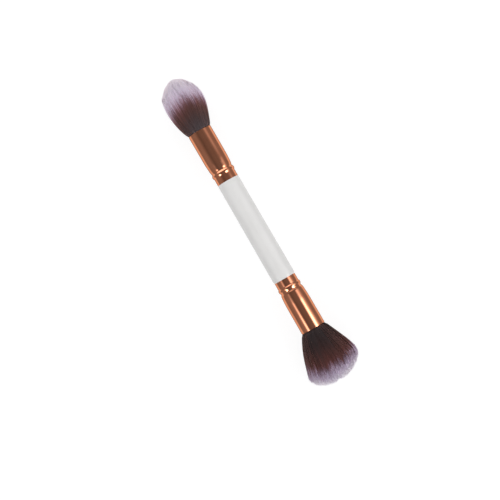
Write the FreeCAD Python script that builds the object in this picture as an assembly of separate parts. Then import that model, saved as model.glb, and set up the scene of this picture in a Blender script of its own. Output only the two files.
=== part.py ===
import FreeCAD, Part
import os
from math import atan2, cos, degrees, exp, pi, radians, sin, sqrt, tan

# Double ended makeup brush, millimetres. Each piece is drawn along the brush's own axis, X,
# with the middle of the handle at 0, the tapered head at -X and the powder head at +X.
# At the end the brush is laid down on its two heads, with Z up.

# Handle: one turned piece, a little thicker towards the powder head
handle_len = 74.5
handle_d_tapered = 15.3
handle_d_powder = 15.8
handle_ease_len = 1.6         # the lacquered edge eases down over this length
handle_ease_r = 4.0
tenon_len = 14.0
tenon_chamfer = 0.8
tenon_fit = 0.05              # radial clearance in the ferrule

# Ferrules: drawn tubes, measured from the end that meets the handle
ferrule_len = 37.7
ferrule_wall = 0.4
sleeve_d = 15.1
tapered_mouth_d = 16.6
powder_mouth_d = 17.1
bead_at = 6.4
bead_rise = 0.55
bead_top_len = 0.9
bead_foot_len = 1.1
bead_r = 0.9
crimp_at = 8.3
crimp_press = 0.2             # how deep the crimp is rolled into the tenon
crimp_r = 0.7
shoulder_at = 9.8
shoulder_drop = 0.5           # below the mouth's radius
shoulder_r = 2.5
swell_at = 15.5
swell_drop = 0.07
swell_r = 60.0
lip_r = 0.15

# Inside a ferrule, from the tenon to the mouth: air, the glue plug and the bristles' roots
tenon_gap = 3.7
glue_len = 7.0
root_len = ferrule_len - tenon_len - tenon_gap - glue_len
root_fit = 0.05

# Tapered head: a full, pointed flame
tapered_len = 39.4
tapered_max_d = 26.6
tapered_full_at = 20.7        # from the ferrule's mouth
tapered_flare = 1.67          # power of the flare's curve
tapered_crown = 2.7           # powers of the crown's curve
tapered_point = 0.9
tapered_tip_d = 3.0
tapered_lean = 0.7            # the crown lies this far to the +Y side
tapered_lean_from = 3.0
tapered_lean_to = 22.0
tapered_locks = 12
tapered_parting_len = 13.0
tapered_parting_depth = 0.9

# Powder head: a wide flare with a domed end
powder_len = 38.7
powder_max_d = 36.8
powder_full_at = 26.2
powder_flare = 1.33
powder_crown = 2.0
powder_point = 0.5
powder_tip_d = 3.0
powder_lean = -2.0
powder_lean_from = 18.5
powder_lean_to = 38.0
powder_locks = 15
powder_parting_len = 5.0
powder_parting_depth = 0.8

# Bristle locks, the shallow ridges that the fibres gather into
lock_rise = 0.28
lock_full_at = 12.0           # the ridges reach their full height this far from the mouth
lock_wavers = 3               # the locks are wider and narrower in turn, so often round the head
lock_waver = 1.3              # radians of the locks' own wave
lock_waver_turn = 0.6
lip_overhang = 0.15           # inside the ferrule's outer edge at the mouth
parting_width = 16.0          # degrees round the head
parting_side = 92.0           # degrees from +Y towards +Z
parting_run_in = 0.5          # share of the parting's length over which it deepens
parting_max_share = 0.33      # of the head's radius

# Rings that the heads are lofted through
points_per_lock = 4
flare_rings = 5
crown_rings = (22, 42, 60, 74, 84, 90)    # degrees of a quarter turn, closer together at the tip

# At rest the heads give by this much, which leaves a flat spot under each
rest_press = 0.4


def rounded_path(corners):
    """Edges along (x, radius, fillet) corners in the XZ plane, each inner corner rounded by its fillet."""
    places = [FreeCAD.Vector(x, 0, r) for x, r, _ in corners]
    edges, start = [], places[0]
    for i in range(1, len(corners) - 1):
        corner, fillet = places[i], corners[i][2]
        back = (places[i - 1] - corner).normalize()
        ahead = (places[i + 1] - corner).normalize()
        if fillet > 0:
            turn = pi - back.getAngle(ahead)
            reach = fillet * tan(turn / 2)
            inward = (back + ahead).normalize()
            middle = corner + inward * (fillet / cos(turn / 2) - fillet)
            into, out_of = corner + back * reach, corner + ahead * reach
            edges.append(Part.makeLine(start, into))
            edges.append(Part.Arc(into, middle, out_of).toShape())
            start = out_of
        else:
            edges.append(Part.makeLine(start, corner))
            start = corner
    edges.append(Part.makeLine(start, places[-1]))
    return edges


def turned(edges):
    """The solid that a closed outline of edges sweeps round the brush's axis."""
    face = Part.Face(Part.Wire(Part.sortEdges(edges)[0]))
    return face.revolve(FreeCAD.Vector(0, 0, 0), FreeCAD.Vector(1, 0, 0), 360)


def closed_on_axis(corners):
    """A turned solid from corners that start and end on the axis."""
    first, last = corners[0], corners[-1]
    axis = Part.makeLine(FreeCAD.Vector(last[0], 0, 0), FreeCAD.Vector(first[0], 0, 0))
    return turned(rounded_path(corners) + [axis])


def mirrored(shape):
    """The shape on the other end of the brush."""
    return shape.mirror(FreeCAD.Vector(0, 0, 0), FreeCAD.Vector(1, 0, 0))


# Outline shared by the ferrules and by the tenons that they are crimped on
def ferrule_corners(mouth_d, inset):
    """The tube's outline from the handle to the mouth, inset from the outer surface by a wall."""
    sleeve, mouth = sleeve_d / 2 - inset, mouth_d / 2 - inset
    bead_start, bead_end = bead_at - bead_top_len / 2, bead_at + bead_top_len / 2
    return [
        (0, sleeve, 0),
        (bead_start - bead_foot_len, sleeve, bead_r + inset),
        (bead_start, sleeve + bead_rise, bead_r - inset),
        (bead_end, sleeve + bead_rise, bead_r - inset),
        (crimp_at, sleeve - crimp_press, crimp_r + inset),
        (shoulder_at, mouth - shoulder_drop, shoulder_r - inset),
        (swell_at, mouth - swell_drop, swell_r - inset),
        (ferrule_len, mouth, 0),
    ]


# Handle with its two tenons, each grooved where the ferrule is crimped into it
def crossing(a, b, r):
    """Where the line between two corners of an outline passes the radius r."""
    return a[0] + (b[0] - a[0]) * (r - a[1]) / (b[1] - a[1])


def tenon_corners(mouth_d, side):
    """The tenon's outline, from the handle's shoulder outwards; side is +1 or -1 along X."""
    room = ferrule_corners(mouth_d, ferrule_wall + tenon_fit)
    sleeve, bead_end, crimp, shoulder = room[0], room[3], room[4], room[5]
    r = sleeve[1]
    steps = [
        (0, r, 0),
        (crossing(bead_end, crimp, r), r, 0),
        (crimp[0], crimp[1], 0),
        (crossing(crimp, shoulder, r), r, 0),
        (tenon_len - tenon_chamfer, r, 0),
        (tenon_len, r - tenon_chamfer, 0),
        (tenon_len, 0, 0),
    ]
    return [(side * (handle_len / 2 + x), r, fillet) for x, r, fillet in steps]


def handle():
    half = handle_len / 2
    body = [
        (-half, sleeve_d / 2, 0),
        (-half + handle_ease_len, handle_d_tapered / 2, handle_ease_r),
        (half - handle_ease_len, handle_d_powder / 2, handle_ease_r),
        (half, sleeve_d / 2, 0),
    ]
    tapered_end = tenon_corners(tapered_mouth_d, -1)[::-1]
    return closed_on_axis(tapered_end + body + tenon_corners(powder_mouth_d, 1))


# Ferrules, drawn at +X of the handle
def ferrule(mouth_d):
    outer = ferrule_corners(mouth_d, 0)
    inner = ferrule_corners(mouth_d, ferrule_wall)
    ends = [
        Part.makeLine(FreeCAD.Vector(a[0], 0, a[1]), FreeCAD.Vector(b[0], 0, b[1]))
        for a, b in ((outer[0], inner[0]), (outer[-1], inner[-1]))
    ]
    tube = turned(rounded_path(outer) + rounded_path(inner) + ends)
    mouth_edges = [e for e in tube.Edges if e.BoundBox.XMin > ferrule_len - lip_r / 2]
    tube = tube.makeFillet(lip_r, mouth_edges)
    tube.translate(FreeCAD.Vector(handle_len / 2, 0, 0))
    return tube


def radius_at(corners, x):
    """The radius at x of the straight runs between an outline's corners."""
    for a, b in zip(corners, corners[1:]):
        if a[0] <= x <= b[0]:
            return a[1] + (b[1] - a[1]) * (x - a[0]) / (b[0] - a[0])


def bore_filler(mouth_d, start, end):
    """A solid that fills the bore between two distances back from the mouth."""
    room = ferrule_corners(mouth_d, ferrule_wall + root_fit)
    back, front = ferrule_len - start, ferrule_len - end
    outline = [(back, 0), (back, radius_at(room, back))]
    outline += [(x, r) for x, r, _ in room if back < x < front]
    outline += [(front, radius_at(room, front)), (front, 0)]
    return closed_on_axis([(handle_len / 2 + x, r, 0) for x, r in outline])


def glue_plug(mouth_d):
    return bore_filler(mouth_d, root_len + glue_len, root_len)


# Bristle heads, drawn at +X of the handle
def flared_r(x, full_at, mouth_r, full_r, flare, crown, point, length, tip_r):
    """The head's radius at x from the mouth: a flare up to the fullest place, then the crown."""
    if x < full_at:
        return mouth_r + (full_r - mouth_r) * (1 - (1 - x / full_at) ** flare)
    along = (x - full_at) / (length - full_at)
    crown_r = full_r * max(0, 1 - along ** crown) ** point
    return sqrt(tip_r ** 2 + crown_r ** 2)


def smooth_step(x, start, end):
    """0 before start, 1 after end, and an S-curve between."""
    along = min(max((x - start) / (end - start), 0), 1)
    return along * along * (3 - 2 * along)


def bristle_head(mouth_d, length, max_d, full_at, flare, crown, point, tip_d,
                 lean, lean_from, lean_to, locks, parting_len, parting_depth):
    """Lofted through rings of gathered locks, with a parting that runs back from the tip."""
    mouth_x = handle_len / 2 + ferrule_len
    mouth_r = mouth_d / 2 - lip_overhang
    rings = [full_at * i / flare_rings for i in range(flare_rings + 1)]
    rings += [full_at + (length - full_at) * sin(radians(turn)) for turn in crown_rings]
    parting_start = length - parting_len
    parting_full = parting_start + parting_len * parting_run_in
    wires = []
    for x in rings:
        r = flared_r(x, full_at, mouth_r, max_d / 2, flare, crown, point, length, tip_d / 2)
        rise = lock_rise * min(1, x / lock_full_at) * smooth_step(r, tip_d / 2, max_d / 2)
        depth = min(parting_depth * smooth_step(x, parting_start, parting_full), r * parting_max_share)
        shift = lean * smooth_step(x, lean_from, lean_to)
        ring = []
        count = locks * points_per_lock
        for i in range(count):
            turn = 2 * pi * i / count
            lock = cos(locks * turn + lock_waver * sin(lock_wavers * turn + lock_waver_turn))
            off = (degrees(turn) - parting_side + 180) % 360 - 180
            out = r + rise * lock - depth * exp(-(off / parting_width) ** 2)
            ring.append(FreeCAD.Vector(mouth_x + x, shift + out * cos(turn), out * sin(turn)))
        curve = Part.BSplineCurve()
        curve.interpolate(Points=ring, PeriodicFlag=True, Parameters=[i / count for i in range(count + 1)])
        wires.append(Part.Wire(curve.toShape()))
    head = Part.makeLoft(wires, True)
    return head.fuse(bore_filler(mouth_d, root_len, 0))


def tapered_bristles():
    return bristle_head(
        tapered_mouth_d, tapered_len, tapered_max_d, tapered_full_at, tapered_flare, tapered_crown,
        tapered_point, tapered_tip_d, tapered_lean, tapered_lean_from, tapered_lean_to,
        tapered_locks, tapered_parting_len, tapered_parting_depth)


def powder_bristles():
    return bristle_head(
        powder_mouth_d, powder_len, powder_max_d, powder_full_at, powder_flare, powder_crown,
        powder_point, powder_tip_d, powder_lean, powder_lean_from, powder_lean_to,
        powder_locks, powder_parting_len, powder_parting_depth)


def laid_down(pieces):
    """The brush on the floor, its length centred: tilted to lie on both heads, each a little flattened."""
    tapered_x = -(handle_len / 2 + ferrule_len + tapered_full_at)
    powder_x = handle_len / 2 + ferrule_len + powder_full_at
    tilt = atan2((powder_max_d - tapered_max_d) / 2, powder_x - tapered_x)
    lift = powder_max_d / 2 * cos(tilt) - powder_x * sin(tilt) - rest_press
    middle = (powder_len - tapered_len) / 2 * cos(tilt)
    size = 2 * (handle_len + 2 * ferrule_len + tapered_len + powder_len)
    under_floor = Part.makeBox(size, size, size, FreeCAD.Vector(-size / 2, -size / 2, -size))
    laid = {}
    for name, shape in pieces.items():
        shape = shape.copy()
        shape.rotate(FreeCAD.Vector(0, 0, 0), FreeCAD.Vector(0, 1, 0), -degrees(tilt))
        shape.translate(FreeCAD.Vector(-middle, 0, lift))
        laid[name] = shape.cut(under_floor) if name.endswith("bristles") else shape
    return laid


pieces = {
    "handle": handle(),
    "tapered_ferrule": mirrored(ferrule(tapered_mouth_d)),
    "powder_ferrule": ferrule(powder_mouth_d),
    "tapered_glue_plug": mirrored(glue_plug(tapered_mouth_d)),
    "powder_glue_plug": glue_plug(powder_mouth_d),
    "tapered_bristles": mirrored(tapered_bristles()),
    "powder_bristles": powder_bristles(),
}
os.makedirs("parts", exist_ok=True)
for name, shape in laid_down(pieces).items():
    shape.exportStep(f"parts/{name}.step")
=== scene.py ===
import bpy
import numpy as np
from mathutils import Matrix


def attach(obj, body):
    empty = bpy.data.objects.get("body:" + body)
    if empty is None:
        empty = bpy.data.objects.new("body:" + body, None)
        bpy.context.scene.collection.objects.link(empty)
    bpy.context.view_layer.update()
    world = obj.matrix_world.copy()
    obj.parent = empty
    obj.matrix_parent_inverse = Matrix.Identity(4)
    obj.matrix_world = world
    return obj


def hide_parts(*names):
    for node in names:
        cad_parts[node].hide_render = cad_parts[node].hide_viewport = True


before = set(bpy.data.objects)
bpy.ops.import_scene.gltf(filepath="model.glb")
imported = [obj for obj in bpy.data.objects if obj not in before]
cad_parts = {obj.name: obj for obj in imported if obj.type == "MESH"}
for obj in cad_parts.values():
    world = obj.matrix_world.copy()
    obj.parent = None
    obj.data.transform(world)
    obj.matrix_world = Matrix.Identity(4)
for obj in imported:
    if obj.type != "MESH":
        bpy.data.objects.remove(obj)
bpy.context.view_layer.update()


# Handle: one turned piece of wood under a thick coat of white satin lacquer. The coat is sprayed on
# and sanded, so it is never quite even: the sheen changes a little along the grip, and the surface
# has the faint ripple that spray lacquer keeps.

def node(tree, kind, inputs=(), **settings):
    """A shader node with its settings, each input either linked from a socket or set to a value."""
    made = tree.nodes.new("ShaderNode" + kind)
    for name, value in settings.items():
        setattr(made, name, value)
    for name, value in dict(inputs).items():
        if isinstance(value, bpy.types.NodeSocket):
            tree.links.new(value, made.inputs[name])
        else:
            made.inputs[name].default_value = value
    return made


def noise(tree, place, scale, detail, roughness=0.5):
    """A cloudy pattern from 0 to 1, with about so many clouds to a unit of place."""
    inputs = {"Vector": place, "Scale": scale, "Detail": detail, "Roughness": roughness}
    return node(tree, "TexNoise", inputs).outputs["Fac"]


def between(tree, value, low, high, start=0.0, end=1.0, **settings):
    """A value that follows another: low at its start, high at its end, and between them in a
    straight line, or by the curve that the settings name."""
    inputs = {"Value": value, "From Min": start, "From Max": end, "To Min": low, "To Max": high}
    return node(tree, "MapRange", inputs, **settings).outputs["Result"]


def paint(red, green, blue):
    """A colour of a paint chart, 0 to 255, turned into the linear values that shaders use."""
    chart = np.array([red, green, blue]) / 255
    linear = np.where(chart <= 0.04045, chart / 12.92, ((chart + 0.055) / 1.055) ** 2.4)
    return (*linear, 1.0)


def colour_ramp(tree, value, stops):
    """The colour that a value from 0 to 1 picks from the stops, each a place and its colour."""
    made = node(tree, "ValToRGB", {"Fac": value})
    elements = made.color_ramp.elements
    while len(elements) < len(stops):
        elements.new(0.5)
    for element, (at, colour) in zip(elements, stops):
        element.position, element.color = at, colour
    return made.outputs["Color"]


def finish_of(name, **sockets):
    """A new material, its node tree and its surface shader with the sockets set."""
    material = bpy.data.materials.new(name)
    material.use_nodes = True
    surface = material.node_tree.nodes["Principled BSDF"]
    for socket, value in sockets.items():
        surface.inputs[socket.replace("_", " ")].default_value = value
    return material, material.node_tree, surface


def uneven(tree, surface, height, strength, depth):
    """Gives a surface a fine relief of a depth in metres, and so much of it as strength says."""
    bump = node(tree, "Bump", {"Height": height, "Strength": strength, "Distance": depth})
    tree.links.new(bump.outputs["Normal"], surface.inputs["Normal"])


def wear(piece, material):
    """Puts a material on a piece in place of any that it came with."""
    piece.data.materials.clear()
    piece.data.materials.append(material)


lacquer, tree, surface = finish_of(
    "white_satin_lacquer", Roughness=0.42, Specular_IOR_Level=0.4, Coat_Weight=0.12,
    Coat_Roughness=0.25)
place = node(tree, "TexCoord").outputs["Object"]
cloud = noise(tree, place, 55.0, 3.0, 0.6)
tint = colour_ramp(tree, cloud, [(0.3, paint(215, 214, 212)), (0.7, paint(220, 219, 217))])
tree.links.new(tint, surface.inputs["Base Color"])
tree.links.new(between(tree, cloud, 0.38, 0.48), surface.inputs["Roughness"])
uneven(tree, surface, noise(tree, place, 900.0, 2.0), strength=0.05, depth=0.0002)
wear(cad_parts["handle"], lacquer)


# Ferrules: drawn aluminium tubes with a polished rose gold finish, each pushed over a tenon of the
# handle and crimped next to its rolled bead. Drawing leaves hair-fine lines along the tube, and the
# finish changes a little in depth of colour from place to place.

rose_gold, tree, surface = finish_of(
    "rose_gold_finish", Metallic=1.0, Roughness=0.1, Specular_Tint=(0.82, 0.6, 0.45, 1.0))
place = node(tree, "TexCoord").outputs["Object"]
drawn_out = node(tree, "Mapping", {"Vector": place, "Scale": (30.0, 2600.0, 2600.0)})
lines = noise(tree, drawn_out.outputs["Vector"], 1.0, 3.0, 0.6)
cloud = noise(tree, place, 160.0, 2.0)
tint = colour_ramp(tree, cloud, [(0.3, paint(227, 148, 113)), (0.7, paint(233, 155, 120))])
tree.links.new(tint, surface.inputs["Base Color"])
tree.links.new(between(tree, lines, 0.06, 0.13), surface.inputs["Roughness"])
uneven(tree, surface, lines, strength=0.12, depth=0.00002)
for name in ("tapered_ferrule", "powder_ferrule"):
    wear(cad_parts[name], rose_gold)


# Glue plugs: amber epoxy poured behind the bristles' roots, where it sets as a disc that locks the
# tuft in its ferrule. They are sealed in and show only when a brush is cut open.

amber, tree, surface = finish_of("amber_glue", Roughness=0.22, IOR=1.55)
cloud = noise(tree, node(tree, "TexCoord").outputs["Object"], 420.0, 4.0)
tint = colour_ramp(tree, cloud, [(0.35, paint(160, 118, 62)), (0.65, paint(190, 152, 92))])
tree.links.new(tint, surface.inputs["Base Color"])
for name in ("tapered_glue_plug", "powder_glue_plug"):
    wear(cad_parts[name], amber)


# Tapered head: several thousand crimped synthetic fibres, dyed dark at the root and left lavender
# at the tip, bundled in a cup that shapes them to a full, pointed flame, and glued in the ferrule.
# Sizes are in millimetres, and x runs outwards from the ferrule's mouth.

handle_len, ferrule_len = 74.5, 37.7
mouth_at = handle_len / 2 + ferrule_len
tapered_head = dict(
    mouth_x=-mouth_at, side=-1, bore=7.9, mouth_r=8.3,
    full_r=13.4, full_at=20.0, length=38.2, flare=1.6, crown=2.2, point=0.53, tip_r=1.5,
    lean=0.8, lean_from=3.0, lean_to=20.0, bow=-0.65, bow_at=31.0, bow_len=3.0,
    locks=12, parting_len=15.0, parting_depth=1.3, gather=0.8, notch=0.0,
    # The dye ends sooner on the sides than on the top partly as painted rim light.
    dye_from=8.5, dye_side_and_rim_light=14.5, dye_top=21.1, dye_skew=-0.2, dye_spread=0.9,
    odd_turn=79, odd_dye=1.4)

# The brush lies on the fullest places of its two heads, each pressed a little flat.
tapered_len, tapered_rest_at, tapered_rest_r = 39.4, 20.7, 13.3
powder_len, powder_rest_at, powder_rest_r = 38.7, 26.2, 18.4
rests_apart, rest_press = tapered_rest_at + 2 * mouth_at + powder_rest_at, 0.4
tilt = np.arctan2(powder_rest_r - tapered_rest_r, rests_apart)
powder_rest_x = mouth_at + powder_rest_at
lift = powder_rest_r * np.cos(tilt) - powder_rest_x * np.sin(tilt) - rest_press
origin_x = (powder_len - tapered_len) / 2 * np.cos(tilt)
press_from, press_to = 0.45, 0.06


def laid_down(x, across, up, head):
    """Places in the frame, in metres, of points given from the head's mouth outwards, across and
    up: set at the head's end, turned by the tilt that the brush lies at, and near the floor
    pressed flat by a curve that never reaches it."""
    along = head["mouth_x"] + head["side"] * x
    z = along * np.sin(tilt) + up * np.cos(tilt) + lift
    give = press_from - press_to
    z = np.where(z < press_from, press_to + give * np.exp((z - press_from) / give), z)
    return np.stack([along * np.cos(tilt) - up * np.sin(tilt) - origin_x, across, z], -1) / 1000


def smooth_step(x, start, end):
    """0 before start, 1 after end, and an S-curve between."""
    along = np.clip((x - start) / (end - start), 0, 1)
    return along * along * (3 - 2 * along)


def head_radius(x, head):
    """The head's radius at x: up to the fullest place the mouth's radius plus a power curve of the
    way there, and after it the full radius times a rounded power curve that ends in a blunt tip."""
    opening = 1 - np.clip(1 - x / head["full_at"], 0, 1) ** head["flare"]
    flare = head["mouth_r"] + (head["full_r"] - head["mouth_r"]) * opening
    along = np.clip((x - head["full_at"]) / (head["length"] - head["full_at"]), 0, 1)
    crown = head["full_r"] * (1 - along ** head["crown"]) ** head["point"]
    return np.where(x < head["full_at"], flare, np.hypot(head["tip_r"], crown))


bore_gap, lip_len = 0.15, 0.9


def bundle_radius(x, head):
    """How far from the axis the outermost fibre runs at x: inside the tube's bore at the mouth,
    with the surface on the flare, and past the fullest place only a share, gather, of the way in
    with it, so that fibres end one by one."""
    crown = (1 - head["gather"]) * head["full_r"] + head["gather"] * head_radius(x, head)
    inside = head["mouth_r"] - head["bore"] + bore_gap
    tucked = inside * np.exp(-np.clip(x, 0, None) / lip_len)
    flare = head_radius(np.clip(x, 0, None), head)
    return np.where(x < head["full_at"], flare, crown) - tucked


def degrees_off(turn, line):
    """How many degrees a turn, in radians, lies to one side of a line, from -180 to 180."""
    return (np.degrees(turn) - line + 180) % 360 - 180


lock_rise, lock_full_at, lock_waver = 0.16, 12.0, 1.3
parting_turn, parting_width = 93.0, 6.0


def relief(x, turn, head):
    """What the gathered locks add to the radius, a cosine round the head with a waver in its pitch,
    less the parting, a soft groove on the side that faces up."""
    lock = np.cos(head["locks"] * turn + lock_waver * np.sin(3 * turn + 0.6))
    start = head["length"] - head["parting_len"]
    groove = head["parting_depth"] * smooth_step(x, start, start + head["parting_len"] / 2)
    rise = lock_rise * np.clip(x / lock_full_at, 0, 1)
    return rise * lock - groove * np.exp(-(degrees_off(turn, parting_turn) / parting_width) ** 2)


def sideways(x, head):
    """How far the head's middle lies to one side at x: an S-curve out to its lean, and one bow."""
    return (head["lean"] * smooth_step(x, head["lean_from"], head["lean_to"])
            + head["bow"] * np.exp(-((x - head["bow_at"]) / head["bow_len"]) ** 2))


def mesh_piece(name, vertices, quads, triangles, uv, material, smooth=False):
    """A mesh object from whole arrays, with one map corner for each corner of each face."""
    mesh = bpy.data.meshes.new(name)
    corners = np.concatenate([quads.ravel(), triangles.ravel()])
    sizes = np.repeat([4, 3], [len(quads), len(triangles)])
    starts = np.concatenate([[0], np.cumsum(sizes)[:-1]])
    mesh.vertices.add(len(vertices))
    mesh.vertices.foreach_set("co", vertices.astype(np.float32).ravel())
    mesh.loops.add(len(corners))
    mesh.loops.foreach_set("vertex_index", corners.astype(np.int32))
    mesh.polygons.add(len(sizes))
    mesh.polygons.foreach_set("loop_start", starts.astype(np.int32))
    mesh.polygons.foreach_set("use_smooth", np.full(len(sizes), smooth))
    mesh.update(calc_edges=True)
    mesh.uv_layers.new(name="OFBake").uv.foreach_set("vector", uv.astype(np.float32).ravel())
    mesh.materials.append(material)
    piece = bpy.data.objects.new(name, mesh)
    bpy.context.scene.collection.objects.link(piece)
    return piece


odd_lock_width = 9.0


def dye_line(turn, head):
    """How far from the mouth the dark dye ends: furthest out on the top and underside of the head,
    and further on one side than on the other, with a slow waver round it and one odd lock that
    took more or less of the dye. It ends sooner on the two sides partly as painted rim light, so
    that the head's edges show lighter, as light shining through the fibres makes them."""
    round_it = (head["dye_top"] - head["dye_side_and_rim_light"]) * np.abs(np.sin(turn)) ** 1.2
    waver = 0.5 * np.sin(5 * turn - 1.6) + 0.2 * np.sin(11 * turn + 2.0)
    off = degrees_off(turn, head["odd_turn"])
    odd_lock = head["odd_dye"] * np.exp(-(off / odd_lock_width) ** 2)
    return head["dye_side_and_rim_light"] + round_it + head["dye_skew"] * np.cos(turn) + waver + odd_lock


# The fibres' map: up it the distance from the mouth, and across it the dye's length in steps.
reach, map_low, map_high = 42.0, 0.05, 0.95
dye_step, dye_steps, step_edge, step_used = 0.5, 40, 0.1, 0.7


def map_row(x):
    """How far up its map a place at x lies: map_low at the ferrule's mouth, map_high at reach."""
    return map_low + (map_high - map_low) * x / reach


def map_column(dye, shade, head):
    """Where across its map a fibre lies: its dye's length in steps, and inside that step its own
    shade, 0 for the darkest and 1 for the lightest of the batch."""
    step = np.clip(np.floor((dye - head["dye_from"]) / dye_step), 0, dye_steps - 1)
    return (step + step_edge + step_used * np.clip(shade, 0, 1)) / dye_steps


def clumps_of(spot, clump, rng):
    """One fibre in so many, picked to be the middle of a clump, and for each fibre the number of
    the middle that is nearest to its spot, worked out part by part to save memory."""
    middles = spot[rng.choice(len(spot), len(spot) // clump, replace=False)]
    parts = np.array_split(spot, 24)
    nearest = [np.argmin(((part[:, None] - middles) ** 2).sum(2), 1) for part in parts]
    return middles, np.concatenate(nearest)


clump_ends, fibre_ends_short, fibre_ends_vary, notch_width = 0.35, -0.4, 0.5, 1.1


def fibre_ends(spot, shares, middles, nearest, head, rng):
    """How far from the mouth each fibre ends: where its share of the bundle's radius meets the
    head's surface, a little more or less with its clump and on its own, and less in a notch that
    crosses the head's middle."""
    crown_x = np.linspace(head["full_at"], head["length"], 240)
    inside = head_radius(crown_x, head) / bundle_radius(crown_x, head)
    ends = np.interp(shares, inside[::-1], crown_x[::-1])
    ends += (rng.normal(0, clump_ends, len(middles))[nearest]
             + np.clip(rng.normal(fibre_ends_short, fibre_ends_vary, len(shares)), -2.0, 0.4))
    return ends - head["notch"] * np.exp(-(spot[:, 0] * head["full_r"] / notch_width) ** 2)


clump_pull, clump_from, clump_drift = 0.4, 10.0, 0.25
parted_by, parted_over, parted_shares = 2.6, 5.0, 0.6
stray_share, stray_far, stray_near = 0.03, 0.9, 0.12


def fibre_paths(x, spot, shares, turns, middles, nearest, head, rng):
    """Where each fibre runs: at its share of the bundle's radius and its turn round the axis, drawn
    towards the middle of its clump on the way out and turned away from the parting, plus a wave
    of its own and the drift of its clump, which both grow by the square of the way out."""
    count = len(shares)
    off = degrees_off(turns, parting_turn)
    parted = np.radians(parted_by * np.sign(off) * np.exp(-(off / parting_width) ** 2))
    open_from = head["length"] - head["parting_len"]
    opened = smooth_step(x, open_from, open_from + parted_over)
    turned = parted[:, None] * opened * (shares > parted_shares)[:, None]
    pull = clump_pull * smooth_step(x, clump_from, head["length"])[..., None]
    right, up = np.moveaxis(spot[:, None] + (middles[nearest] - spot)[:, None] * pull, 2, 0)
    gathered = np.stack([np.cos(turned) * right - np.sin(turned) * up,
                         np.sin(turned) * right + np.cos(turned) * up], -1)
    locks = relief(x, np.arctan2(spot[:, 1], spot[:, 0])[:, None], head) * shares[:, None] ** 2
    radius = bundle_radius(x, head) + locks
    wave = (rng.uniform(0, 2 * np.pi, (count, 1, 2))
            + x[..., None] * rng.uniform(0.15, 0.4, (count, 1, 2)))
    stray = np.where(rng.random(count) < stray_share, stray_far, stray_near)[:, None, None]
    drift = rng.normal(0, clump_drift, (len(middles), 2))[nearest][:, None]
    loose = (stray * np.sin(wave) + drift) * (x / head["length"])[..., None] ** 2
    across, up = np.moveaxis(gathered * radius[..., None] + loose, 2, 0)
    return laid_down(x, across + sideways(x, head), up, head)


def tube_corners(places, turns, girth, facing):
    """Three corners round each place of each path, wider than deep, with the widest side about
    outwards: two axes square to the path, turned by facing, times the corners' own places."""
    outward = np.stack([0 * turns, np.cos(turns), np.sin(turns)], 1)[:, None]
    heading = np.gradient(places, axis=1)
    heading /= np.linalg.norm(heading, axis=2, keepdims=True)
    side = np.cross(heading, outward)
    side /= np.linalg.norm(side, axis=2, keepdims=True)
    top = np.cross(side, heading)
    flat_top = np.cos(facing) * top + np.sin(facing) * side
    flat_side = np.cos(facing) * side - np.sin(facing) * top
    deep, wide = np.array([(0.3, 1.1), (-0.6, 0.0), (0.3, -1.1)]).T[:, None, None, :, None]
    ring = deep * flat_top[:, :, None] + wide * flat_side[:, :, None]
    return (places[:, :, None] + girth[..., None, None] * ring).reshape(-1, 3)


def tube_faces(count, rings):
    """The sides of every tube, three to a stretch between two rings, and its two end caps."""
    first = np.arange(count) * rings * 3
    base = first[:, None, None] + (np.arange(rings - 1) * 3)[:, None]
    now, after = np.arange(3), (np.arange(3) + 1) % 3
    sides = np.stack([base + now, base + after, base + 3 + after, base + 3 + now], -1)
    root, tip = first[:, None] + [0, 2, 1], first[:, None] + (rings - 1) * 3 + [0, 1, 2]
    return sides.reshape(-1, 4), np.concatenate([root, tip])


# How far the corners of one side lie apart on the map.
corner_apart = 1 / 1500


def tube_map(x, column):
    """The map corners of the same faces: one column of the map for each fibre, its three sides next
    to each other, and rows by the distance from the mouth."""
    now = np.arange(3)
    shape = (x.shape[0], x.shape[1] - 1, 3)
    low = np.broadcast_to(map_row(x)[:, :-1, None], shape)
    high = np.broadcast_to(map_row(x)[:, 1:, None], shape)
    left = np.broadcast_to(column[:, None, None] + now * corner_apart, shape)
    right = np.broadcast_to(column[:, None, None] + (now + 1) * corner_apart, shape)
    sides = np.stack([left, low, right, low, right, high, left, high], -1)
    edge = column[:, None] + np.array([0, 2, 1]) * corner_apart
    peak = np.array([0, 0, 2]) * corner_apart * reach
    caps = [np.stack([edge, map_row(x[:, [ring]] + peak)], -1) for ring in (0, -1)]
    return np.concatenate([sides.reshape(-1, 2), np.concatenate(caps).reshape(-1, 2)])


fibre_r, tip_len, tip_thins_by, root_in = 0.095, 5.0, 0.65, 1.5
dye_varies_by, clump_shade, fibre_shade = 1.6, 0.17, 0.22


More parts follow.
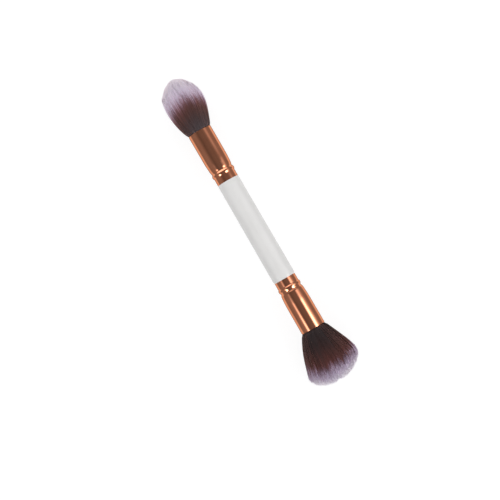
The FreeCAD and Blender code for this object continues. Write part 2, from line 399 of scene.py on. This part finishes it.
def fibres(name, head, shares, turns, start, rings, clump, seed, material):
    """One closed, three-sided, tapering tube for each fibre, from inside the ferrule, or from start
    short of its own end, to its end. Each is dyed with its clump and a little on its own."""
    rng = np.random.default_rng(seed)
    count = len(shares)
    spot = shares[:, None] * np.stack([np.cos(turns), np.sin(turns)], 1)
    middles, nearest = clumps_of(spot, clump, rng)
    ends = fibre_ends(spot, shares, middles, nearest, head, rng)[:, None]
    if start is None:
        x = ends * np.linspace(0, 1, rings - 1) ** 1.2
        x = np.concatenate([np.full((count, 1), -root_in), x], 1)
    else:
        x = ends - start * np.linspace(1, 0, rings)
    places = fibre_paths(x, spot, shares, turns, middles, nearest, head, rng)
    thinner = 1 - tip_thins_by * smooth_step(x, ends - tip_len, ends)
    girth = fibre_r / 1000 * thinner * rng.uniform(0.8, 1.15, (count, 1))
    vertices = tube_corners(places, turns, girth, rng.uniform(-0.7, 0.7, (count, 1, 1)))
    sides, caps = tube_faces(count, rings)
    dye = (dye_line(turns, head) + rng.normal(0, head["dye_spread"], len(middles))[nearest]
           + rng.normal(0, dye_varies_by, count))
    shade = (0.5 + rng.normal(0, clump_shade, len(middles))[nearest]
             + rng.normal(0, fibre_shade, count))
    uv = tube_map(x, map_column(dye, shade, head))
    return mesh_piece(name, vertices, sides, caps, uv, material)


core_share, core_short, core_root_r, core_root_len, core_end_r = 0.945, 2.2, 7.5, 2.0, 0.02
core_shade, core_shade_varies_by, strip_wide = 0.45, 0.15, 1 / 600


def packed_core(name, head, seed, material):
    """The dense inside of the bundle: the head's own surface drawn in to a share of its radius and
    by a little at the crown, with its far end drawn nearly to a point and its root end left open, on
    a grid of rings along by steps round. Each strip between two steps has a dye line and a shade of
    its own, as the fibres have."""
    rng = np.random.default_rng(seed)
    rows, steps, length = 40, 480, head["length"] - core_short
    x = np.concatenate([np.linspace(-1, head["full_at"], rows // 2, endpoint=False),
                        np.linspace(head["full_at"], length, rows - rows // 2)])[:, None]
    turn = np.arange(steps) * 2 * np.pi / steps
    skin = head_radius(np.clip(x * head["length"] / length, 0, None), head)
    radius = core_share * np.minimum(bundle_radius(x, head), skin)
    radius = np.where(x < core_root_len, np.minimum(radius, core_root_r), radius)
    radius = radius + relief(x, turn, head)
    radius[-1] = core_end_r
    across = radius * np.cos(turn) + sideways(x, head)
    vertices = laid_down(x + 0 * turn, across, radius * np.sin(turn), head).reshape(-1, 3)
    row = (np.arange(rows - 1) * steps)[:, None]
    now, after = np.arange(steps), (np.arange(steps) + 1) % steps
    quads = np.stack([row + now, row + after, row + steps + after, row + steps + now], -1)
    quads = quads.reshape(-1, 4)
    strips = rng.normal((0, core_shade), (head["dye_spread"], core_shade_varies_by), (steps // 2, 2))
    dye, shade = np.repeat(strips, 2, axis=0).T
    column = map_column(dye_line(turn, head) + dye, shade, head)
    shape = (rows - 1, steps)
    low, high = np.broadcast_to(map_row(x[:-1]), shape), np.broadcast_to(map_row(x[1:]), shape)
    left, right = np.broadcast_to(column, shape), np.broadcast_to(column + strip_wide, shape)
    uv = np.stack([left, low, right, low, right, high, left, high], -1).reshape(-1, 4, 2)
    if head["side"] < 0:
        quads, uv = quads[:, ::-1], uv[:, ::-1]
    return mesh_piece(name, vertices, quads, np.zeros((0, 3), int), uv, material, smooth=True)


def reckoned(tree, operation, *values):
    """The outcome of one sum on the values, each a number or a socket."""
    return node(tree, "Math", dict(enumerate(values)), operation=operation).outputs[0]


# The fibres of a batch differ most in their red and least in their blue.
batch_spread = np.array([1.0, 0.85, 0.8, 0])
darkest_at, lightest_at = 0.14, 0.86


def dyed_fibre(name, head, stops):
    """Fibre dyed by its place on its own map: up the map the distance from the ferrule, across it
    how far out the dye ends and the fibre's own shade. The stops are (distance past the dye line,
    middle colour of the batch, how far its darkest and lightest fibres are from that)."""
    material, tree, surface = finish_of(
        name, Roughness=0.5, Specular_IOR_Level=0.22, Sheen_Weight=1.0, Sheen_Roughness=0.35,
        Sheen_Tint=(1.0, 0.52, 0.44, 1.0))
    own_map = node(tree, "UVMap", uv_map="OFBake").outputs["UV"]
    spot = node(tree, "SeparateXYZ", {"Vector": own_map})
    distance = between(tree, spot.outputs["Y"], 0.0, reach, map_low, map_high, clamp=False)
    column = reckoned(tree, "MULTIPLY", spot.outputs["X"], dye_steps)
    step = reckoned(tree, "FLOOR", column)
    line = reckoned(tree, "MULTIPLY_ADD", step, dye_step, head["dye_from"] + dye_step / 2)
    past = reckoned(tree, "SUBTRACT", distance, line)
    share = between(tree, past, 0.0, 1.0, -reach, reach)
    blend = node(tree, "Mix", data_type="RGBA")
    shade = between(tree, reckoned(tree, "FRACT", column), 0.0, 1.0, darkest_at, lightest_at)
    tree.links.new(shade, blend.inputs[0])
    for socket, sign in ((blend.inputs[6], -1), (blend.inputs[7], 1)):
        batch = [(0.5 + at / (2 * reach),
                  np.clip(np.array(paint(*colour)) * (1 + sign * batch_spread * spread), 0, 1))
                 for at, colour, spread in stops]
        tree.links.new(colour_ramp(tree, share, batch), socket)
    # Painted glints and shade: a noise on the fibre's map makes its colour lighter and darker in
    # short stretches along it, where crimps would catch the light.
    stretch_spacing = node(tree, "Mapping", {"Vector": own_map, "Scale": (270.0, 30.0, 1.0)})
    painted_glint = noise(tree, stretch_spacing.outputs["Vector"], 1.0, 1.0)
    level = between(tree, painted_glint, 0.86, 1.1, 0.3, 0.7)
    finished = node(tree, "VectorMath", {0: blend.outputs[2], 1: level}, operation="MULTIPLY")
    tree.links.new(finished.outputs[0], surface.inputs["Base Color"])
    return material


tapered_dye = dyed_fibre("tapered_fibre", tapered_head, [
    (-21, (68, 60, 63), 0.25), (-12.8, (66, 49, 49), 0.25), (-6.8, (83, 52, 47), 0.35),
    (-3.8, (94, 59, 58), 0.5), (-0.8, (132, 97, 107), 0.4), (2.2, (185, 161, 181), 0.2),
    (5.2, (224, 211, 229), 0.12), (11.5, (238, 230, 241), 0.1), (16.5, (255, 248, 255), 0.0)])


def spread_out(count, first, last):
    """The shares of the bundle's radius and the turns of so many fibres. They stand evenly from the
    first share of its area to the last, each the golden angle further round than the one before."""
    return np.sqrt(np.linspace(first, last, count)), np.pi * (3 - 5 ** 0.5) * np.arange(count)


shares, turns = spread_out(5800, 1.0, 0.90)
upper = np.sin(turns) > 0
inner, inner_turns = spread_out(4400, 0.0, 0.90)
tapered_pieces = [
    packed_core("tapered_core", tapered_head, 7, tapered_dye),
    fibres("tapered_fibres_a", tapered_head, shares[upper], turns[upper],
           start=None, rings=11, clump=40, seed=1, material=tapered_dye),
    fibres("tapered_fibres_b", tapered_head, shares[~upper], turns[~upper],
           start=None, rings=11, clump=40, seed=2, material=tapered_dye),
    fibres("tapered_tips", tapered_head, inner, inner_turns,
           start=12.0, rings=6, clump=5, seed=3, material=tapered_dye),
]
for piece in tapered_pieces:
    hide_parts("tapered_bristles")
    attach(piece, "root")


# Powder head: the same fibres in a larger bundle, spread to a wide flare and cupped to a dome. They
# hardly bend in towards the end, so the dome is made of their tips. The bundle leans a little to one
# side, as a used or freshly washed brush does.

powder_head = dict(
    mouth_x=mouth_at, side=1, bore=8.15, mouth_r=8.7,
    full_r=18.6, full_at=26.2, length=37.9, flare=1.33, crown=1.95, point=0.435, tip_r=1.5,
    lean=-2.1, lean_from=22.0, lean_to=37.0, bow=-0.45, bow_at=9.0, bow_len=8.0,
    locks=15, parting_len=5.0, parting_depth=0.8, gather=0.16, notch=1.2,
    # The dye ends sooner on the sides than on the top partly as painted rim light.
    dye_from=14.0, dye_side_and_rim_light=20.4, dye_top=28.1, dye_skew=-0.5, dye_spread=0.6,
    odd_turn=96, odd_dye=-1.6)
powder_dye = dyed_fibre("powder_fibre", powder_head, [
    (-27, (31, 25, 27), 0.4), (-19, (31, 20, 21), 0.45), (-13, (45, 26, 25), 0.5),
    (-9, (61, 33, 30), 0.55), (-5, (73, 38, 34), 0.5), (-2, (92, 53, 53), 0.45),
    (1, (149, 125, 145), 0.3), (4, (202, 185, 211), 0.15), (6.5, (207, 196, 213), 0.12),
    (9, (244, 240, 248), 0.08)])
shares, turns = spread_out(7000, 1.0, 0.92)
upper = np.sin(turns) > 0
inner, inner_turns = spread_out(9000, 0.0, 0.92)
outer = inner > 0.67
powder_pieces = [
    packed_core("powder_core", powder_head, 8, powder_dye),
    fibres("powder_fibres_a", powder_head, shares[upper], turns[upper],
           start=None, rings=10, clump=40, seed=14, material=powder_dye),
    fibres("powder_fibres_b", powder_head, shares[~upper], turns[~upper],
           start=None, rings=10, clump=40, seed=9, material=powder_dye),
    fibres("powder_tips_a", powder_head, inner[outer], inner_turns[outer],
           start=13.0, rings=5, clump=6, seed=5, material=powder_dye),
    fibres("powder_tips_b", powder_head, inner[~outer], inner_turns[~outer],
           start=13.0, rings=5, clump=6, seed=6, material=powder_dye),
]
for piece in powder_pieces:
    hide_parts("powder_bristles")
    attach(piece, "root")


# Floor: a sheet of matt white card that the brush lies on. The camera sees it lit through to white,
# it keeps the soft shadow under the brush, and the metal sees a painted pool of light on either
# side: the card glows in glossy rays alone, with painted shade right under the brush.

def grey_ramp(tree, value, stops):
    """The grey that a value from 0 to 1 picks from the stops, each a place and a level."""
    return colour_ramp(tree, value, [(at, (level, level, level, 1)) for at, level in stops])


def flat_sheet(name, width, depth, height, material):
    """A level rectangle about the origin."""
    mesh = bpy.data.meshes.new(name)
    corners = np.array([(-1, -1), (1, -1), (1, 1), (-1, 1)]) * (width / 2, depth / 2)
    mesh.from_pydata(np.column_stack([corners, np.full(4, height)]), [], [(0, 1, 2, 3)])
    mesh.materials.append(material)
    sheet = bpy.data.objects.new(name, mesh)
    bpy.context.scene.collection.objects.link(sheet)
    return sheet


card, tree, surface = finish_of(
    "white_card", Roughness=0.9, Specular_IOR_Level=0.0, Emission_Color=(1, 1, 1, 1))
rays = node(tree, "LightPath")
by_eye, in_metal = rays.outputs["Is Camera Ray"], rays.outputs["Is Glossy Ray"]
grey = node(tree, "Mix", {0: reckoned(tree, "MAXIMUM", by_eye, in_metal)}, data_type="RGBA")
grey.inputs[6].default_value = (0.85, 0.85, 0.85, 1)
grey.inputs[7].default_value = (0.26, 0.26, 0.26, 1)
tree.links.new(grey.outputs[2], surface.inputs["Base Color"])
place = node(tree, "SeparateXYZ", {"Vector": node(tree, "TexCoord").outputs["Object"]})
away, pool_edge, card_glow = reckoned(tree, "ABSOLUTE", place.outputs["Y"]), 0.1, 0.82
# Painted reflection: a glow that only glossy rays see, dark under the brush and brightest a little
# to either side.
painted_pool = grey_ramp(tree, between(tree, away, 0.0, 1.0, 0.0, pool_edge), [
    (0.0, 0.0), (0.09, 0.02), (0.12, 0.12), (0.16, 0.45), (0.2, 0.6), (0.27, 0.85), (0.34, 0.85),
    (0.5, 0.42), (0.85, 0.0)])
glow = reckoned(tree, "ADD", reckoned(tree, "MULTIPLY", by_eye, card_glow),
                reckoned(tree, "MULTIPLY", in_metal, painted_pool))
tree.links.new(glow, surface.inputs["Emission Strength"])
flat_sheet("floor", 1.6, 1.6, 0.0, card)


# Studio: a grey room with a window past the tapered end, a soft box on each side of the brush that
# is brighter towards the powder head, and a weaker one for the tapered half. The polished metal
# mirrors these, and two broad lamps light everything that isn't polished.

world = bpy.data.worlds.new("studio")
bpy.context.scene.world = world
world.use_nodes = True
tree = world.node_tree
tree.nodes.clear()
aim = node(tree, "SeparateXYZ", {"Vector": node(tree, "TexCoord").outputs["Generated"]})
from_overhead = reckoned(tree, "ARCTAN2", aim.outputs["Y"], aim.outputs["Z"])
room = grey_ramp(tree, between(tree, from_overhead, 0.0, 1.0, -np.pi / 2, np.pi / 2), [
    ((degrees + 90) / 180, level) for degrees, level in (
        (-90, 0.30), (-58, 0.30), (-47, 0.24), (-37, 0.18), (-27, 0.14), (-18, 0.16), (0, 0.20),
        (20, 0.19), (34, 0.24), (48, 0.28), (60, 0.30), (90, 0.30))])
window_edge, window_full, window_level, side_edge, side_full = -0.72, -0.86, 2.0, 0.85, 0.65
end_on = between(tree, aim.outputs["X"], 0.0, window_level, window_edge, window_full,
                 interpolation_type="SMOOTHSTEP")
aside = reckoned(tree, "ABSOLUTE", aim.outputs["Y"])
inside = between(tree, aside, 0.0, 1.0, side_edge, side_full, interpolation_type="SMOOTHSTEP")
window = reckoned(tree, "MULTIPLY", end_on, inside)
mirrored = node(tree, "VectorMath", {0: room, 1: window}, operation="ADD").outputs[0]
rays = node(tree, "LightPath")

# Metal mirrors the room, the camera sees white, and the rest gets an even light from all round.
lit = node(tree, "Mix", {0: rays.outputs["Is Glossy Ray"], 7: mirrored}, data_type="RGBA")
lit.inputs[6].default_value = (0.55, 0.55, 0.56, 1)
shown = node(tree, "Mix", {0: rays.outputs["Is Camera Ray"], 6: lit.outputs[2]}, data_type="RGBA")
shown.inputs[7].default_value = (1, 1, 1, 1)
background = node(tree, "Background", {"Color": shown.outputs[2], "Strength": 1.0})
tree.links.new(background.outputs[0], node(tree, "OutputWorld").inputs["Surface"])


def area_light(name, long, wide, watts, place):
    """A rectangular lamp, long along the brush, at a place from where it faces the brush's axis."""
    light = bpy.data.lights.new(name, "AREA")
    light.shape, light.size, light.size_y, light.energy = "RECTANGLE", long, wide, watts
    lamp = bpy.data.objects.new(name, light)
    lamp.location = place
    lamp.rotation_euler = (-np.arctan2(place[1], place[2]), 0, 0)
    lamp.visible_camera = False
    bpy.context.scene.collection.objects.link(lamp)
    return lamp


box_away, box_long, box_x = 0.26, 0.8, 0.05


def soft_box(name, degrees_over, wide, across, along):
    """A rectangular light so many degrees from overhead, seen in the metal alone. Its brightness is
    one ramp across it, by degrees from overhead, times one along it, by metres along the brush."""
    turn = np.radians(degrees_over)
    place = (box_x, box_away * np.sin(turn), box_away * np.cos(turn))
    lamp = area_light(name, box_long, wide, np.pi * box_long * wide, place)
    lamp.visible_diffuse = False
    lamp.data.use_nodes = True
    tree = lamp.data.node_tree
    spot = node(tree, "NewGeometry").outputs["Position"]
    out = np.array([0, np.cos(turn), -np.sin(turn)])
    outwards = node(tree, "VectorMath", {0: spot, 1: out}, operation="DOT_PRODUCT").outputs["Value"]
    lengthways = node(tree, "SeparateXYZ", {"Vector": spot}).outputs["X"]
    across_at = between(tree, outwards, 0.0, 1.0, -wide / 2, wide / 2)
    along_at = between(tree, lengthways, 0.0, 1.0, box_x - box_long / 2, box_x + box_long / 2)
    across = [(box_away * np.tan(np.radians(degrees) - turn) / wide + 0.5, level)
              for degrees, level in across]
    along = [((x - box_x) / box_long + 0.5, level) for x, level in along]
    ramps = {0: grey_ramp(tree, across_at, across), 1: grey_ramp(tree, along_at, along)}
    level = node(tree, "VectorMath", ramps, operation="MULTIPLY").outputs[0]
    tree.links.new(level, tree.nodes["Emission"].inputs["Color"])


soft_box("soft_box_right", 43, 0.34,
         across=[(15, 0.0), (21, 0.2), (25, 1.1), (30, 3.8), (38, 6.0), (45, 3.0), (52, 1.05),
                 (60, 0.4), (69, 0.1), (75, 0.0)],
         along=[(-0.045, 0.0), (-0.02, 0.17), (0.015, 0.2), (0.03, 0.26), (0.040, 0.3),
                (0.046, 0.66), (0.060, 0.66), (0.075, 0.98), (0.12, 1.0), (0.2, 1.8)])
soft_box("soft_box_left", -44, 0.26,
         across=[(-66, 0.0), (-58, 0.2), (-52, 0.75), (-47, 2.6), (-43, 3.2), (-39, 2.0),
                 (-34, 0.5), (-29, 0.1), (-26, 0.0)],
         along=[(-0.05, 0.0), (-0.02, 0.13), (0.015, 0.12), (0.03, 0.2), (0.040, 0.22),
                (0.046, 0.42), (0.062, 0.46), (0.070, 0.9), (0.08, 1.0), (0.12, 1.2), (0.2, 3.0)])
soft_box("soft_box_end", 50, 0.18,
         across=[(34, 0.0), (40, 0.5), (48, 1.0), (55, 0.8), (62, 0.3), (68, 0.0)],
         along=[(-0.12, 0.40), (-0.09, 0.25), (-0.078, 0.1), (-0.065, 0.1), (-0.05, 0.45),
                (-0.03, 0.4), (0.01, 0.4), (0.05, 0.0)])
for name, y, z, watts in (("lamp_right", 0.42, 0.46, 1.9), ("lamp_left", -0.40, 0.50, 1.6)):
    area_light(name, 0.9, 0.3, watts, (-0.05, y, z)).visible_glossy = False


# Camera: straight above with a long lens, square to the floor, and turned so that the brush runs
# down to the right.

camera = bpy.data.objects.new("camera", bpy.data.cameras.new("camera"))
camera.data.lens = 109.07
camera.location = (0.00989, -0.01035, 1.0154)
camera.rotation_euler = (0, 0, np.radians(59.96))
camera.data.clip_end = 10
bpy.context.scene.collection.objects.link(camera)
bpy.context.scene.camera = camera
bpy.context.scene.view_settings.view_transform = "Standard"
